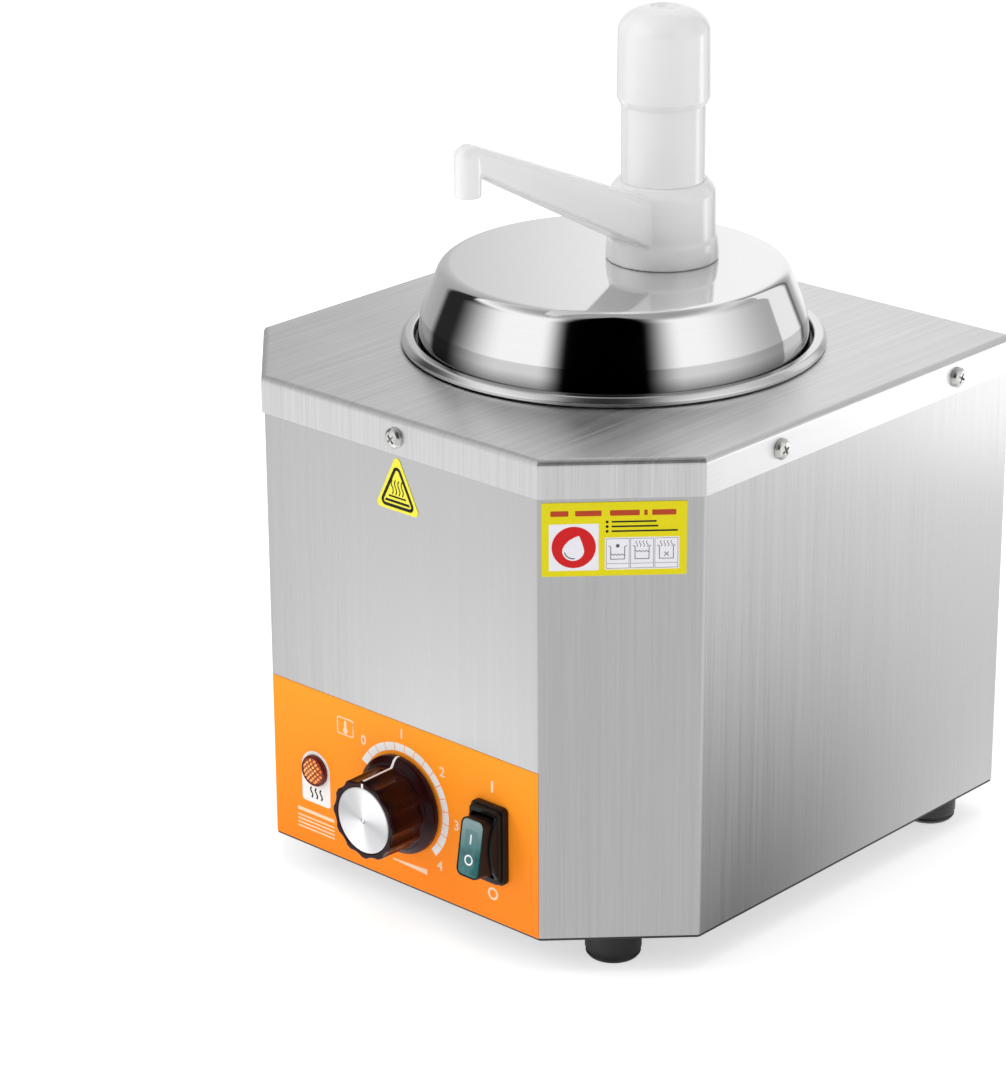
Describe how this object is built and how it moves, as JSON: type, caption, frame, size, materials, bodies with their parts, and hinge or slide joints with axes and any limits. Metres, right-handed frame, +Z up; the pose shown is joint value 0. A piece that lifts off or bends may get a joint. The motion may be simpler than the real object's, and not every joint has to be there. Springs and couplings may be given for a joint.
{
  "type": "nacho cheese dispenser",
  "caption": "Heated countertop cheese dispenser: water-bath housing with dial and rocker switch, lift-out pot, domed lid and hand plunger pump with a spout.",
  "frame": {"origin": "centre of the whole footprint on the floor plane, under the feet; it is also the centre of the housing in plan", "axes": "+Z up, -Y towards the user, where the control panel faces, +X to the user's right"},
  "size_m": [0.2298, 0.27, 0.3348],
  "materials": {
    "brushed_steel": "vertical brushed grain",
    "brushed_deck": "grain running front to back",
    "satin_steel": "satin spun",
    "polished_steel": "mirror polished",
    "fastener_steel": "plain",
    "black_steel": "black coated",
    "element_steel": "heat-darkened",
    "spun_aluminium": "spun face",
    "brass": "plain",
    "foot_rubber": "matte",
    "seal_rubber": "satin",
    "orange_film": "printed film",
    "yellow_film": "printed film",
    "black_plastic": "moulded",
    "bakelite": "polished dark brown",
    "white_plastic": "moulded gloss",
    "white_print": "paint fill",
    "ivory_plastic": "moulded",
    "amber_lens": "translucent amber",
    "dark_red_plastic": "moulded",
    "teal_lens": "translucent green",
    "cable": "satin"
  },
  "bodies": {
    "housing": {"shell": "brushed_steel", "top_cover": "brushed_deck", "back_panel": "brushed_steel", "base_plate": "black_steel", "feet": "foot_rubber", "foot_screws": "fastener_steel", "cover_screws": "fastener_steel", "clinch_nuts": "fastener_steel", "back_screws": "fastener_steel", "control_panel": "orange_film", "heat_sticker": "yellow_film", "water_label": "yellow_film", "water_tank": "satin_steel", "heating_element": "element_steel", "element_nuts": "brass", "thermostat": "satin_steel", "thermostat_screws": "fastener_steel", "capillary_bulb": "brass", "lamp_bezel": "dark_red_plastic", "lamp_lens": "amber_lens", "lamp_body": "ivory_plastic", "switch_housing": "black_plastic", "switch_terminals": "brass", "terminal_block": "ivory_plastic", "wiring": "cable", "strain_relief": "black_plastic", "power_cord": "cable", "plug_body": "black_plastic", "plug_pins": "brass"},
    "pot": {"pot": "satin_steel"},
    "lid": {"lid": "polished_steel"},
    "pump": {"spout_collar": "white_plastic", "pump_gasket": "seal_rubber", "lock_nut": "white_plastic", "barrel": "white_plastic", "wiper_ring": "seal_rubber", "foot_valve": "white_plastic", "return_spring": "fastener_steel"},
    "intake_ball": {"intake_ball": "fastener_steel"},
    "plunger": {"push_cap": "white_plastic", "plunger_tube": "white_plastic", "piston": "white_plastic", "piston_seal": "seal_rubber"},
    "transfer_ball": {"transfer_ball": "fastener_steel"},
    "knob": {"knob": "bakelite", "knob_disc": "spun_aluminium", "knob_pointer": "white_print", "knob_grub_screw": "fastener_steel", "thermostat_shaft": "fastener_steel"},
    "rocker": {"rocker": "black_plastic", "rocker_lens": "teal_lens"}
  },
  "joints": [
    {"name": "pot_lift", "type": "slide", "parent": "housing", "child": "pot", "axis": [0, 0, 1], "range_m": [0, 0.16]},
    {"name": "lid_lift", "type": "slide", "parent": "pot", "child": "lid", "axis": [0, 0, 1], "range_m": [0, 0.18]},
    {"name": "pump_swivel", "type": "hinge", "parent": "lid", "child": "pump", "pos_m": [0.0096, 0.0246, 0.2353], "axis": [0, 0, 1], "continuous": true},
    {"name": "plunger_press", "type": "slide", "parent": "pump", "child": "plunger", "axis": [0, 0, -1], "range_m": [0, 0.028], "stiffness_N_per_m": 150, "springref_m": -0.015, "deforming": ["return_spring"]},
    {"name": "transfer_ball_lift", "type": "slide", "parent": "plunger", "child": "transfer_ball", "axis": [0, 0, 1], "range_m": [0, 0.0025]},
    {"name": "intake_ball_lift", "type": "slide", "parent": "pump", "child": "intake_ball", "axis": [0, 0, 1], "range_m": [0, 0.0025]},
    {"name": "knob_turn", "type": "hinge", "parent": "housing", "child": "knob", "pos_m": [0, -0.1133, 0.049], "axis": [0, 1, 0], "range_deg": [-46, 137]},
    {"name": "rocker_toggle", "type": "hinge", "parent": "housing", "child": "rocker", "pos_m": [0.0465, -0.1183, 0.048], "axis": [1, 0, 0], "range_deg": [0, 19]}
  ]
}
